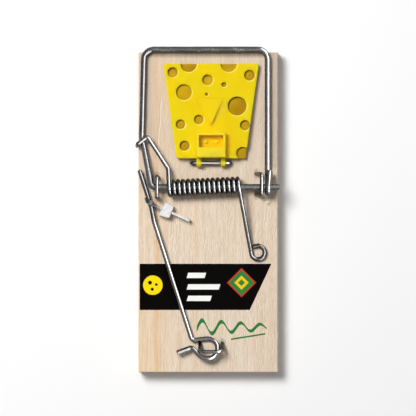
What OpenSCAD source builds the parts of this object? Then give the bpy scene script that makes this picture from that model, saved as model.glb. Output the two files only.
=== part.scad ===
// Snap mouse trap: wooden board, sprung wire hammer, bait pedal and locking bar.
// Millimetres, +Z up. The origin is the centre of the board's underside.
// +Y points to the bait end, where the hammer lies once it has snapped.

/* [Board] */
// Length of the wooden board
board_l = 101.6; // [101:0.1:110]
// Width of the wooden board
board_w = 44.4; // [43.6:0.1:52]
// Thickness of the wooden board
board_t = 6.4; // [5:0.1:10]
// Chamfer on the board's long edges
board_chamfer = 0.3; // [0.1:0.1:0.8]

/* [Hammer] */
// Diameter of the hammer wire, which is also the axle
hammer_d = 1.9; // [1.6:0.05:2]
// Distance of the axle from the board's centre, towards the bait end
axle_y = 8; // [7.4:0.1:8.4]
// Distance from the axle to the hammer's crossbar
hammer_reach = 43.9; // [42.5:0.1:46]
// Width of the hammer between its leg centre lines, at the kink
hammer_w = 40; // [39.5:0.1:41]
// Sideways offset of the hammer from the board's centre line
hammer_x = -1.1; // [-1.4:0.05:-0.8]
// Inward lean of the spring-side leg, from its kink to the crossbar
leg_lean = 0.7; // [0:0.1:1.2]
// Bend radius of the hammer's two front corners
hammer_corner_r = 3.2; // [2.6:0.1:5]
// Distance from the axle to the kink in the spring-side leg
kink_reach = 15.9; // [15:0.1:17]
// Sideways shift of the spring-side leg between its kink and the axle
kink_shift = 3.1; // [2.8:0.1:3.6]
// Length that the axle stands out past the other leg
axle_tail = 3.7; // [2:0.1:4.2]
// Length of the hook's end past the axle
hook_tail = 5.6; // [3:0.1:6]
// Sideways drift of the hook's end
hook_drift = 0.6; // [0.4:0.1:1.4]

/* [Spring] */
// Diameter of the spring wire
spring_d = 1.4; // [1:0.05:1.45]
// Number of turns in the coil
spring_turns = 14; // [8:1:14]
// Distance between neighbouring turns
spring_pitch = 1.57; // [1.5:0.01:1.62]
// Distance along the axle from the left staple to the coil
spring_start = 3.9; // [3.4:0.1:4.2]
// Sideways play that the coil takes up at each end, so that it sits askew on the axle
spring_askew = 0.45; // [0:0.05:0.45]
// Length of the arm that presses on the board
spring_arm_l = 20.8; // [16:0.1:24]
// Sideways splay of that arm
spring_arm_splay = 4; // [1:0.1:4.2]
// Radius of the curled eye that ends the arm, to the wire's centre
spring_eye_r = 2.15; // [1.8:0.05:2.4]

/* [Staples] */
// Diameter of the staple wire
staple_d = 1.2; // [0.9:0.05:1.25]
// Depth that each staple is driven into the board
staple_depth = 4; // [3:0.1:4.4]
// Distance between the legs of an axle staple
axle_staple_w = 6.6; // [6:0.1:7.4]
// Sideways lean of the right axle staple
axle_staple_lean = 1.6; // [0:0.1:2]
// Distance that the right axle staple sits off the axle's middle, towards the bait end
right_staple_shift = 0.9; // [0:0.1:1]
// Distance between the legs of the locking bar's staple
bar_staple_w = 7.1; // [7:0.1:7.6]
// Height of the locking bar's staple over the board
bar_staple_h = 4.6; // [4.4:0.1:5.2]
// Lean of the locking bar's staple, away from the axle
bar_staple_lean = 2.4; // [2:0.1:2.6]
// Distance between the legs of the pedal's hinge staple
hinge_staple_w = 12.2; // [11.6:0.1:14]

/* [Pedal] */
// Distance from the axle to the pedal's hinge
hinge_reach = 7.6; // [7.2:0.1:8]
// Height of the pedal's hinge over the board
hinge_h = 1.8; // [1.6:0.1:2.2]
// Room beside the bait pedal, between it and the hammer's legs, on average
pedal_side_gap = 3.95; // [3.6:0.05:5]
// Width of the bait pedal at its hinged end
pedal_hinge_w = 22; // [18:0.1:24]
// Room between the bait pedal's free edge and the hammer's crossbar
pedal_end_gap = 3.85; // [3.3:0.05:5]
// Thickness of the bait pedal's plate
pedal_t = 1.8; // [1.5:0.1:2]
// Distance from the hinge to the plate's near edge
pedal_gap = 1.5; // [1.4:0.1:2]
// Sideways offset of the pedal from the board's centre line
pedal_x = 0.9; // [0.6:0.1:1.2]
// Depth of the round dimples
dimple_depth = 0.9; // [0.4:0.1:1]
// Width of the catch frame over its two knuckles
catch_w = 9.2; // [8.6:0.1:10]
// Length of the catch frame along the plate
catch_l = 7.8; // [7.4:0.1:8.6]
// Height of the catch frame over the plate
catch_h = 2.6; // [2.4:0.1:3]
// Thickness of the lip that the locking bar hooks under
catch_lip_t = 0.8; // [0.5:0.1:0.9]
// Width of the slot under that lip
catch_slot_w = 4.6; // [3:0.1:6]
// Width of each hinge knuckle
knuckle_w = 1.5; // [1.2:0.1:1.8]
// Radius of each hinge knuckle
knuckle_r = 1.25; // [1.2:0.05:1.4]
// Width of the bait wedge at its base
wedge_w = 8; // [5:0.1:10]
// Length of the bait wedge
wedge_l = 8.3; // [6:0.1:9]
// Height of the bait wedge at its point
wedge_h = 1.1; // [0.5:0.1:2]

/* [Locking bar] */
// Diameter of the locking bar's wire
bar_d = 1.5; // [1.3:0.05:1.55]
// Length of the locking bar, from its eye's corner to its tip
bar_l = 56.6; // [54:0.1:57]
// Angle of the locking bar to the board's long axis
bar_angle = 17.7; // [17.6:0.05:17.8]
// Distance from the eye's corner to the jog in the bar
bar_jog_at = 39.5; // [36:0.1:41]
// Sideways step of the jog
bar_jog = 0.55; // [0.3:0.05:0.6]
// Radius of the bar's eye, to the wire's centre
bar_eye_r = 3.3; // [3.25:0.05:3.35]
// Upward tilt of the eye's far side
bar_eye_tilt = 20; // [16:1:22]
// Length of the straight end past the eye
bar_tail_l = 5; // [3:0.1:6]

/* [Cable tie] */
// Thickness of the tie's strap
tie_t = 0.7; // [0.5:0.05:0.75]
// Width of the tie's strap
tie_w = 2; // [1.6:0.1:2.4]
// Length of the tie's trimmed tail
tie_tail_l = 6; // [3:0.1:9]
// Length of the tie's head
tie_head_l = 4.2; // [3.6:0.1:4.6]
// Width of the tie's head
tie_head_w = 4.2; // [3.6:0.1:4.4]
// Height of the tie's head
tie_head_h = 3; // [2.6:0.1:3.4]
// Distance from the bar's eye to the tie
tie_at = 44.8; // [42:0.1:45]
// Angle of the tie to the board's width
tie_angle = -20; // [-26:1:-18]
// Slack in the tie's loop, between the bar and the head
tie_slack = 1.2; // [1:0.1:2]

/* [Clearances] */
// Gap between resting wires and what lies under them
rest_gap = 0.1; // [0.05:0.01:0.15]
// Radial gap round wires that turn
running_gap = 0.06; // [0.03:0.01:0.1]
// Gap between the hook and the axle that it closes round
hook_gap = 0.1; // [0.06:0.01:0.15]
// Radial gap round driven staple legs
driven_gap = 0.01; // [0.005:0.005:0.02]
// Play between the cable tie and the wire in it
tie_gap = 0.1; // [0.05:0.01:0.15]

/* [Hidden] */
$fn = 32;
steel = "silver";
plastic_yellow = "gold";

// Heights: the hammer's legs lie on the board, and its hook lifts the axle clear of them
leg_z = board_t + rest_gap + hammer_d / 2;
hook_r = hammer_d + hook_gap;
axle_z = leg_z + hook_r;
hinge_y = axle_y + hinge_reach;
hinge_z = board_t + hinge_h;

// Bent wire
bend_swell = 0.03;
bend_overlap = 0.1;

// Hammer
hammer_left = hammer_x - hammer_w / 2;
hammer_right = hammer_x + hammer_w / 2;
axle_left = hammer_left + kink_shift;
kink_y = axle_y + kink_reach;
crossbar_y = axle_y + hammer_reach;
axle_bend_r = 0.7 * hammer_d;
axle_turn = acos(kink_shift / norm([kink_shift, kink_reach, hook_r]));
axle_bend_l = axle_bend_r * tan(axle_turn / 2);
kink_bend_r = 3;
hook_slope = 18;
hook_bend_r = hook_r - bend_overlap;
hook_skew = atan(hook_drift / (hook_r + hook_tail));

// Staples
staple_bend_r = staple_d;
bar_staple_bend_r = 1.5 * staple_d;
left_staple_x = axle_left + axle_bend_l + staple_d / 2 + running_gap;
right_staple_gap = 0.4;
right_staple_x = hammer_right - hammer_d / 2 - staple_d / 2 - right_staple_gap;
axle_staple_h = axle_z - board_t + hammer_d / 2 + running_gap + staple_d / 2;

// Spring
coil_x = left_staple_x + spring_start;
coil_end_x = coil_x + spring_turns * spring_pitch;
coil_r = axle_z - board_t - rest_gap - spring_d / 2;
coil_steps = 16;
wire_sides = 8;
over_leg_z = leg_z + (hammer_d + spring_d) / 2 + rest_gap;
// Places round the hammer leg's kink where the hook ends, turns up and turns back
HOOK_TIP = [-1.4, -2.9];
HOOK_CORNER = [-1.2, -2.2];
HOOK_APEX = [1.8, 0.1];
HOOK_BENDS = [0.4, 0.7, 2];
// The hook's arm comes down to the coil, and the other arm leaves it
arm_start_l = 6.3;
arm_start_drop = 0.8;
arm_leave_l = 1.6;
arm_leave_drop = 0.15;
arm_leave_share = 0.08;
// The eye's wire turns past its far side and then runs straight up to the arm
eye_over = 10;
eye_tip_gap = 0.2;

// Pedal: it lies tilted, with its free edge on the board
pedal_w = hammer_w - hammer_d - 2 * pedal_side_gap;
pedal_reach = hammer_reach - hammer_d / 2 - pedal_end_gap - hinge_reach;
pedal_l = pedal_reach - pedal_gap;
pedal_tilt = asin((hinge_h - pedal_t / 2 - rest_gap) / pedal_reach);
pedal_corner_r = 0.5;
knuckle_x = (catch_w - knuckle_w) / 2;
catch_y = 0.2;
catch_rim = 0.8;
catch_lip_l = 3.2;
stud_x = 1.7;
stud_r = 0.5;
stud_h = 0.6;
wedge_at = 0.353;
wedge_sink = 0.3;
wedge_edge_h = 0.05;
// Each dimple: sideways place in half widths of the pedal, place along it in its lengths, and radius
DIMPLES = [[-0.808, 0.91, 1.6], [-0.47, 1, 2.6], [0.371, 1, 2.6], [0.808, 0.88, 1.7],
           [-0.0728, 0.83, 1.7], [0.272, 0.78, 0.8], [-0.57, 0.7, 2.5], [-0.0927, 0.677, 0.5],
           [0.55, 0.553, 3], [-0.258, 0.41, 1.5], [-0.642, 0.36, 1.5], [0.715, 0.35, 1.6],
           [-0.556, 0.133, 1.6], [0.662, 0.0533, 2]];

// Locking bar: its eye's corner, then the corners of the square that its eye bends in
bar_z = board_t + rest_gap + bar_d / 2;
bar_rise = (tie_t + tie_gap + rest_gap) / tie_at;
eye_corner = [-5.15, -40.7];
eye_centre = [-0.4, -43.1];
eye_front_y = eye_centre.y + bar_eye_r;
bar_bend_r = 1.2;
bar_dir = [-sin(bar_angle), cos(bar_angle)];
bar_side = [cos(bar_angle), sin(bar_angle)];
bar_jog_l = 4.9;
bar_jog_r = 4;
bar_close_run = 3.5;
bar_tail_dir = [-0.94, -0.34];
bar_staple_x = 0.95;
bar_staple_y = -41.8;

// Cable tie
tie_centre = bar_point(tie_at, bar_jog);
tie_cross = bar_angle - tie_angle;
tie_near = tie_w / 2 * tan(tie_cross) + (bar_d / 2 + tie_gap) / cos(tie_cross);
tie_far = tie_near + tie_slack;
tie_hole_h = bar_d + 2 * tie_gap;
tie_low = -tie_hole_h / 2 - tie_t;
tie_tail_lift = 0.5;

function unit(v) = v / norm(v);
// A point of the locking bar, at a distance from its eye's corner and a sideways step
function bar_point(t, step) = [
    eye_corner.x + bar_dir.x * t + bar_side.x * step,
    eye_corner.y + bar_dir.y * t + bar_side.y * step,
    bar_z + bar_rise * t
];
// A point of the locking bar's eye, lifted by the eye's tilt
function eye_point(x, y) = [x, y, bar_z + max(0, eye_front_y - y) * tan(bar_eye_tilt)];

// Bent wire: the turn at a corner, and how much of each straight the bend takes
function turn_at(p, i) = acos(unit(p[i] - p[i - 1]) * unit(p[i + 1] - p[i]));
function trim_at(p, r, i) = (i == 0 || i == len(p) - 1) ? 0 : r[i] * tan(turn_at(p, i) / 2);

// Straight round rod between two points
module rod(a, b, d) {
    run = b - a;
    l = norm(run);
    translate(a) rotate([0, acos(run.z / l), atan2(run.y, run.x)]) cylinder(h = l, d = d);
}

// Round bend at corner p, from direction u to direction w
module elbow(p, u, w, r, d) {
    turn = acos(u * w);
    inward = (w - u * cos(turn)) / sin(turn);
    c = p - u * r * tan(turn / 2) + inward * r;
    n = cross(-inward, u);
    multmatrix([[-inward.x, u.x, n.x, c.x], [-inward.y, u.y, n.y, c.y], [-inward.z, u.z, n.z, c.z]])
        rotate_extrude(angle = turn) translate([r, 0]) circle(d = d);
}

// Wire bent through the points p, with bend radius r[i] at point i. It swells a little
// in its bends, and each straight runs on a little way into them.
module bent_wire(p, r, d) {
    last = len(p) - 1;
    for (i = [0 : last - 1]) {
        u = unit(p[i + 1] - p[i]);
        a = p[i] + u * (trim_at(p, r, i) - (i > 0 ? bend_overlap : 0));
        b = p[i + 1] - u * (trim_at(p, r, i + 1) - (i + 1 < last ? bend_overlap : 0));
        rod(a, b, d);
    }
    for (i = [1 : last - 1]) {
        elbow(p[i], unit(p[i] - p[i - 1]), unit(p[i + 1] - p[i]), r[i], d + bend_swell);
    }
}

// Staple over two feet on the board, with its crown at the offset rise from them
module staple(foot_a, foot_b, rise, grow = 0, bend_r = staple_bend_r) {
    drop = rise * staple_depth / rise.z;
    bent_wire([foot_a - drop, foot_a + rise, foot_b + rise, foot_b - drop],
              [0, bend_r, bend_r, 0], staple_d + grow);
}

module left_staple_wire(grow = 0) {
    staple([left_staple_x, axle_y - axle_staple_w / 2, board_t],
           [left_staple_x, axle_y + axle_staple_w / 2, board_t], [0, 0, axle_staple_h], grow);
}

module right_staple_wire(grow = 0) {
    foot_x = right_staple_x - axle_staple_lean;
    middle = axle_y + right_staple_shift;
    staple([foot_x, middle - axle_staple_w / 2, board_t],
           [foot_x, middle + axle_staple_w / 2, board_t], [axle_staple_lean, 0, axle_staple_h], grow);
}

module hinge_staple_wire(grow = 0) {
    staple([pedal_x - hinge_staple_w / 2, hinge_y, board_t],
           [pedal_x + hinge_staple_w / 2, hinge_y, board_t], [0, 0, hinge_h], grow);
}

module bar_staple_wire(grow = 0) {
    staple([bar_staple_x - bar_staple_w / 2, bar_staple_y, board_t],
           [bar_staple_x + bar_staple_w / 2, bar_staple_y, board_t],
           [0, -bar_staple_lean, bar_staple_h], grow, bar_staple_bend_r);
}

module base_board() {
    color("burlywood") difference() {
        rotate([90, 0, 0]) linear_extrude(board_l, center = true) polygon([
            [-board_w / 2, board_chamfer], [-board_w / 2 + board_chamfer, 0],
            [board_w / 2 - board_chamfer, 0], [board_w / 2, board_chamfer],
            [board_w / 2, board_t - board_chamfer], [board_w / 2 - board_chamfer, board_t],
            [-board_w / 2 + board_chamfer, board_t], [-board_w / 2, board_t - board_chamfer]
        ]);
        left_staple_wire(2 * driven_gap);
        right_staple_wire(2 * driven_gap);
        hinge_staple_wire(2 * driven_gap);
        bar_staple_wire(2 * driven_gap);
    }
}

// One wire: axle, spring-side leg, crossbar, plain leg and the hook round the axle
module wire_hammer() {
    hook_top = [hammer_right, axle_y - hook_r, axle_z + hook_r * tan(45 + hook_slope / 2)];
    hook_dir = [sin(hook_skew) * cos(hook_slope), cos(hook_skew) * cos(hook_slope), -sin(hook_slope)];
    color(steel) bent_wire([
        [hammer_right + axle_tail, axle_y, axle_z],
        [axle_left, axle_y, axle_z],
        [hammer_left, kink_y, leg_z],
        [hammer_left + leg_lean, crossbar_y, leg_z],
        [hammer_right, crossbar_y, leg_z],
        [hammer_right, axle_y - hook_r, leg_z],
        hook_top,
        hook_top + hook_dir * (hook_r + hook_tail)
    ], [0, axle_bend_r, kink_bend_r, hammer_corner_r, hammer_corner_r, hook_bend_r, hook_bend_r, 0],
    hammer_d);
}

// Tube swept along the points p: each ring's axes are carried on from the ring before
module swept_wire(p, d, sides) {
    n = len(p);
    t = [for (i = [0 : n - 1]) unit(p[min(i + 1, n - 1)] - p[max(i - 1, 0)])];
    first = unit(cross(t[0], [0.3, 0.2, 1]));
    normals = [for (i = 0, v = first; i < n; i = i + 1, v = i < n ? unit(v - t[i] * (v * t[i])) : v) v];
    rings = [for (i = [0 : n - 1]) for (k = [0 : sides - 1])
        let (a = 360 * k / sides, b = cross(t[i], normals[i]))
        p[i] + (normals[i] * cos(a) + b * sin(a)) * d / 2];
    walls = [for (i = [0 : n - 2]) for (k = [0 : sides - 1])
        let (m = (k + 1) % sides)
        [i * sides + k, i * sides + m, (i + 1) * sides + m, (i + 1) * sides + k]];
    start = [for (k = [sides - 1 : -1 : 0]) k];
    end = [for (k = [0 : sides - 1]) (n - 1) * sides + k];
    polyhedron(points = rings, faces = concat([start], walls, [end]));
}

// Points of a round bend of radius r at p[i], in the given number of steps
function bend_points(p, i, r, steps) =
    let (u = unit(p[i] - p[i - 1]), w = unit(p[i + 1] - p[i]), turn = acos(u * w),
         inward = (w - u * cos(turn)) / sin(turn), c = p[i] - u * r * tan(turn / 2) + inward * r)
    [for (k = [0 : steps]) c - inward * r * cos(turn * k / steps) + u * r * sin(turn * k / steps)];

// One wire: hook over the hammer's leg, arm, coil, second arm and curled eye
module torsion_spring() {
    coil_top = axle_z + coil_r;
    hook_y = axle_y - spring_askew;
    hook = [
        [hammer_left + HOOK_TIP.x, kink_y + HOOK_TIP.y, leg_z],
        [hammer_left + HOOK_CORNER.x, kink_y + HOOK_CORNER.y, over_leg_z],
        [hammer_left + HOOK_APEX.x, kink_y + HOOK_APEX.y, over_leg_z],
        [coil_x - spring_d / 4, hook_y + arm_start_l, coil_top - arm_start_drop],
        [coil_x, hook_y, coil_top]
    ];
    eye_z = board_t + rest_gap + spring_d / 2;
    eye_at = [coil_end_x + spring_arm_splay + spring_eye_r, axle_y - spring_arm_l, eye_z];
    coil = [for (i = [0 : spring_turns * coil_steps])
        let (a = 90 + 360 * i / coil_steps, share = i / (spring_turns * coil_steps))
        [coil_x + spring_pitch * i / coil_steps,
         axle_y + spring_askew * (2 * share - 1) + coil_r * cos(a), axle_z + coil_r * sin(a)]];
    arm_x = coil_end_x + spring_arm_splay * arm_leave_share;
    arm = [[arm_x, axle_y + spring_askew - arm_leave_l, coil_top - arm_leave_drop]];
    eye_from = eye_at.x - spring_eye_r;
    eye = [for (a = [180 : 20 : 450 + eye_over]) eye_at + spring_eye_r * [cos(a), sin(a), 0]];
    eye_last = eye[len(eye) - 1];
    arm_at_tip = eye_from + (arm_x - eye_from) * (eye_last.y - eye_at.y) / (arm[0].y - eye_at.y);
    tip_l = (eye_last.x - arm_at_tip - spring_d / 2 - eye_tip_gap) / cos(eye_over);
    tip = [eye_last - tip_l * [cos(eye_over), sin(eye_over), 0]];
    color(steel) swept_wire(concat(
        [hook[0]],
        bend_points(hook, 1, HOOK_BENDS[0], 2),
        bend_points(hook, 2, HOOK_BENDS[1], 4),
        bend_points(hook, 3, HOOK_BENDS[2], 3),
        coil, arm, eye, tip
    ), spring_d, wire_sides);
}

module left_axle_staple() { color(steel) left_staple_wire(); }
module right_axle_staple() { color(steel) right_staple_wire(); }
module pedal_hinge_staple() { color(steel) hinge_staple_wire(); }
module bar_staple() { color(steel) bar_staple_wire(); }

// Plate with rounded corners, from its near edge at y = 0 to its free edge
module pedal_plate() {
    r = pedal_corner_r;
    hull() for (side = [-1, 1]) {
        translate([side * (pedal_hinge_w / 2 - r), r, 0]) cylinder(h = pedal_t, r = r);
        translate([side * (pedal_w / 2 - r), pedal_l - r, 0]) cylinder(h = pedal_t, r = r);
    }
}

// Raised frame with a pocket, two studs in it and the slot for the locking bar's tip
module pedal_catch() {
    pocket_w = catch_w - 2 * catch_rim;
    pocket_l = catch_l - catch_lip_l - catch_rim;
    difference() {
        translate([-catch_w / 2, 0, 0]) cube([catch_w, catch_l, catch_h]);
        translate([-pocket_w / 2, catch_lip_l, 0]) cube([pocket_w, pocket_l, catch_h + 1]);
        translate([-catch_slot_w / 2, -1, 0])
            cube([catch_slot_w, catch_lip_l + 2, catch_h - catch_lip_t]);
    }
    for (side = [-1, 1]) {
        translate([side * stud_x, catch_lip_l + pocket_l / 2, 0]) cylinder(h = stud_h, r = stud_r);
    }
}

// Wedge that rises from the plate to a point, for the bait
module bait_wedge() {
    polyhedron(
        points = [
            [0, 0, -wedge_sink], [wedge_w / 2, wedge_l, -wedge_sink], [-wedge_w / 2, wedge_l, -wedge_sink],
            [0, 0, wedge_h], [wedge_w / 2, wedge_l, wedge_edge_h], [-wedge_w / 2, wedge_l, wedge_edge_h]
        ],
        faces = [[0, 1, 2], [3, 5, 4], [0, 3, 4, 1], [1, 4, 5, 2], [2, 5, 3, 0]]);
}

module bait_pedal() {
    color(plastic_yellow) translate([pedal_x, hinge_y, hinge_z]) rotate([-pedal_tilt, 0, 0]) {
        difference() {
            union() {
                translate([0, pedal_gap, -pedal_t / 2]) {
                    difference() {
                        pedal_plate();
                        for (dimple = DIMPLES) {
                            translate([dimple.x * pedal_w / 2, dimple.y * pedal_l, pedal_t - dimple_depth])
                                cylinder(h = pedal_t, r = dimple.z);
                        }
                    }
                    translate([0, catch_y, pedal_t]) pedal_catch();
                    translate([0, wedge_at * pedal_l, pedal_t]) bait_wedge();
                }
                for (side = [-1, 1]) translate([side * knuckle_x - knuckle_w / 2, 0, 0]) {
                    rotate([0, 90, 0]) cylinder(h = knuckle_w, r = knuckle_r);
                    translate([0, 0, -pedal_t / 2]) cube([knuckle_w, pedal_gap + 1, pedal_t]);
                }
            }
            translate([-catch_w / 2 - 1, 0, 0]) rotate([0, 90, 0])
                cylinder(h = catch_w + 2, d = staple_d + 2 * running_gap);
        }
    }
}

module locking_bar() {
    r = bar_eye_r;
    bend_r = bar_eye_r - bend_overlap;
    c = eye_centre;
    leave = [c.x - r * tan(22.5), c.y - r];
    close = leave + [-1, 1] * bar_close_run;
    end = close + bar_tail_dir * bar_tail_l;
    color(steel) bent_wire([
        bar_point(bar_l, bar_jog),
        bar_point(bar_jog_at + bar_jog_l, bar_jog),
        bar_point(bar_jog_at, 0),
        bar_point(0, 0),
        eye_point(c.x + r, c.y + r),
        eye_point(c.x + r, c.y - r),
        eye_point(leave.x, leave.y),
        eye_point(close.x, close.y),
        eye_point(end.x, end.y)
    ], [0, bar_jog_r, bar_jog_r, bar_bend_r, bend_r, bend_r, bend_r, bar_bend_r, 0], bar_d);
}

// Strap looped round the locking bar, the head that locks it and the trimmed tail
module cable_tie() {
    hole_l = tie_near + tie_far;
    tail_x = tie_far + tie_head_l;
    color("white") translate(tie_centre) rotate([0, 0, tie_angle]) {
        translate([0, tie_w / 2, 0]) rotate([90, 0, 0]) linear_extrude(tie_w) difference() {
            translate([-tie_near - tie_t, tie_low]) square([hole_l + 2 * tie_t, tie_hole_h + 2 * tie_t]);
            translate([-tie_near, -tie_hole_h / 2]) square([hole_l, tie_hole_h]);
        }
        translate([tie_far, -tie_head_w / 2, tie_low]) cube([tie_head_l, tie_head_w, tie_head_h]);
        translate([tail_x, -tie_t / 2, tie_low + tie_tail_lift]) cube([tie_tail_l, tie_t, tie_w]);
    }
}

base_board();
wire_hammer();
torsion_spring();
left_axle_staple();
right_axle_staple();
bait_pedal();
pedal_hinge_staple();
locking_bar();
bar_staple();
cable_tie();
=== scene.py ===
"""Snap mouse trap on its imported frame: drawn wires, moulded pedal, printed board and nylon tie."""

import math

import bmesh
import bpy
from mathutils import Matrix, Vector


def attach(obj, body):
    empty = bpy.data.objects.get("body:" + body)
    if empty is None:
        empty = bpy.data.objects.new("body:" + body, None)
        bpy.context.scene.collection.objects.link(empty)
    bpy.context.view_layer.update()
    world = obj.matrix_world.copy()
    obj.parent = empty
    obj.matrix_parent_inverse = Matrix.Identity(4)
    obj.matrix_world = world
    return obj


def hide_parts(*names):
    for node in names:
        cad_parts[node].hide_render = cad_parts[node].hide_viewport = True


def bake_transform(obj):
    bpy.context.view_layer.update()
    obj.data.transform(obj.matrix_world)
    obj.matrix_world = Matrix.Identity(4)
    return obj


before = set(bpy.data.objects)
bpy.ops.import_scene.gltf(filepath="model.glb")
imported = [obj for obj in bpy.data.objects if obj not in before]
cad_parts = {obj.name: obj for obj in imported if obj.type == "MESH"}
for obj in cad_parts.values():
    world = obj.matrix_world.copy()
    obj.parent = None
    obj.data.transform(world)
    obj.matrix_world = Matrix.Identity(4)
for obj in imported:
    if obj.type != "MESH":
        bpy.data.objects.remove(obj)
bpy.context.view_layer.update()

MM = 0.001

# ----------------------------------------------------------------------------------------------------
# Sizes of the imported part, in millimetres: X to the right, Y towards the bait, Z up
# ----------------------------------------------------------------------------------------------------
BOARD_L, BOARD_W, BOARD_T = 101.6, 44.4, 6.4
HAMMER_D, SPRING_D, STAPLE_D, BAR_D = 1.9, 1.4, 1.2, 1.5
REST_GAP, RUNNING_GAP, HOOK_GAP, TIE_GAP, BEND_OVERLAP = 0.1, 0.06, 0.1, 0.1, 0.1

# Hammer: axle and legs, the kink in the spring-side leg, and the hook that closes round the axle
LEG_Z = BOARD_T + REST_GAP + HAMMER_D / 2
HOOK_R = HAMMER_D + HOOK_GAP
HOOK_TAIL, HOOK_DRIFT, HOOK_SLOPE = 5.6, 0.6, math.radians(18)
AXLE_Y, AXLE_Z, AXLE_TAIL = 8.0, LEG_Z + HOOK_R, 3.7
HAMMER_LEFT, HAMMER_RIGHT, LEG_LEAN = -21.1, 18.9, 0.7
KINK_SHIFT, KINK_REACH, KINK_BEND_R = 3.1, 15.9, 3.0
KINK_Y = AXLE_Y + KINK_REACH
AXLE_LEFT = HAMMER_LEFT + KINK_SHIFT
AXLE_BEND_R = 0.7 * HAMMER_D
AXLE_TURN = math.acos(KINK_SHIFT / math.sqrt(KINK_SHIFT ** 2 + KINK_REACH ** 2 + HOOK_R ** 2))
CROSSBAR_Y, HAMMER_CORNER_R = AXLE_Y + 43.9, 3.2

# Axle staples
LEFT_STAPLE_X = AXLE_LEFT + AXLE_BEND_R * math.tan(AXLE_TURN / 2) + STAPLE_D / 2 + RUNNING_GAP
RIGHT_STAPLE_X, RIGHT_STAPLE_Y = HAMMER_RIGHT - HAMMER_D / 2 - STAPLE_D / 2 - 0.4, AXLE_Y + 0.9
AXLE_STAPLE_W, AXLE_STAPLE_LEAN = 6.6, 1.6
AXLE_STAPLE_H = AXLE_Z - BOARD_T + HAMMER_D / 2 + RUNNING_GAP + STAPLE_D / 2
STAPLE_DEPTH = 4.0

# Spring: coil on the axle, hook over the hammer's leg, and an arm that ends in an eye
COIL_X, COIL_R, ASKEW = LEFT_STAPLE_X + 3.9, AXLE_Z - BOARD_T - REST_GAP - SPRING_D / 2, 0.45
TURNS, PITCH = 14, 1.57
COIL_NEAR_Y, COIL_END_X = AXLE_Y - ASKEW, COIL_X + TURNS * PITCH
OVER_LEG_Z = LEG_Z + (HAMMER_D + SPRING_D) / 2 + REST_GAP
# The hook's tip, corner and apex, as steps from the kink, and its bend radii
HOOK_TIP, HOOK_CORNER, HOOK_APEX = (-1.4, -2.9), (-1.2, -2.2), (1.8, 0.1)
HOOK_BENDS = (0.4, 0.7, 2)
# The hook's arm leaves the coil this many steps past its top, to clear the tie with the hammer open
COIL_STEPS, EARLY_STEPS = 28, 2
ARM_START_L, ARM_L, ARM_SPLAY = 6.3, 20.8, 4.0
ARM_LEAVE_L, ARM_LEAVE_DROP, ARM_LEAVE_SHARE = 1.6, 0.15, 0.08
SPRING_EYE_R, EYE_OVER, EYE_TIP_GAP, EYE_STEPS = 2.15, math.radians(10), 0.2, 40

# Pedal: hinge, plate, catch and bait wedge
PEDAL_X, HINGE_Y, HINGE_H, HINGE_STAPLE_W = 0.9, AXLE_Y + 7.6, 1.8, 12.2
HINGE_Z = BOARD_T + HINGE_H
PEDAL_W, PEDAL_L, PEDAL_T, PEDAL_GAP = 30.2, 30.0, 1.8, 1.5
PEDAL_TILT = math.asin((HINGE_H - PEDAL_T / 2 - REST_GAP) / (PEDAL_GAP + PEDAL_L))
CATCH_AT, CATCH_W, CATCH_L, CATCH_RIM, CATCH_LIP_L = PEDAL_GAP + 0.2, 9.2, 7.8, 0.8, 3.2
WEDGE_TIP, WEDGE_BASE = 12.0, 20.4
# Dimples: place across and along, in shares of the half width and of the length, and radius
DIMPLE_DEPTH = 0.9
DIMPLES = [
    (-0.808, 0.91, 1.6), (-0.47, 1, 2.6), (0.371, 1, 2.6), (0.808, 0.88, 1.7), (-0.0728, 0.83, 1.7),
    (0.272, 0.78, 0.8), (-0.57, 0.7, 2.5), (-0.0927, 0.677, 0.5), (0.55, 0.553, 3), (-0.258, 0.41, 1.5),
    (-0.642, 0.36, 1.5), (0.715, 0.35, 1.6), (-0.556, 0.133, 1.6), (0.662, 0.0533, 2),
]

# Locking bar: straight run with a jog, flat eye and bent tail, and the cable tie round it
TIE_T, TIE_AT, TIE_ANGLE = 0.7, 44.8, math.radians(-20)
BAR_Z, BAR_RISE = BOARD_T + REST_GAP + BAR_D / 2, (TIE_T + TIE_GAP + REST_GAP) / TIE_AT
BAR_L, BAR_ANGLE, BAR_BEND_R = 56.6, math.radians(17.7), 1.2
BAR_JOG, BAR_JOG_FROM, BAR_JOG_TO, BAR_JOG_R = 0.55, 39.5, 44.4, 4
BAR_DIR = Vector((-math.sin(BAR_ANGLE), math.cos(BAR_ANGLE), 0))
BAR_SIDE = Vector((math.cos(BAR_ANGLE), math.sin(BAR_ANGLE), 0))
EYE_CORNER, EYE_CENTRE = Vector((-5.15, -40.7, 0)), Vector((-0.4, -43.1, 0))
EYE_R, EYE_TILT, EYE_CLOSE = 3.3, math.radians(20), 3.5
BAR_TAIL_L, BAR_TAIL_WAY = 5, (-0.94, -0.34)

# Staples: piece, node, middle of the feet, step to one foot, rise of the crown, bend in wire widths
STAPLES = [
    ("left_staple", "left_axle_staple", (LEFT_STAPLE_X, AXLE_Y),
     (0, AXLE_STAPLE_W / 2), (0, 0, AXLE_STAPLE_H), 1.0),
    ("right_staple", "right_axle_staple", (RIGHT_STAPLE_X - AXLE_STAPLE_LEAN, RIGHT_STAPLE_Y),
     (0, AXLE_STAPLE_W / 2), (AXLE_STAPLE_LEAN, 0, AXLE_STAPLE_H), 1.0),
    ("hinge_staple", "pedal_hinge_staple", (PEDAL_X, HINGE_Y),
     (HINGE_STAPLE_W / 2, 0), (0, 0, HINGE_H), 1.0),
    ("bar_holding_staple", "bar_staple", (0.95, -41.8),
     (7.1 / 2, 0), (0, -2.4, 4.6), 1.5),
]


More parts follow.
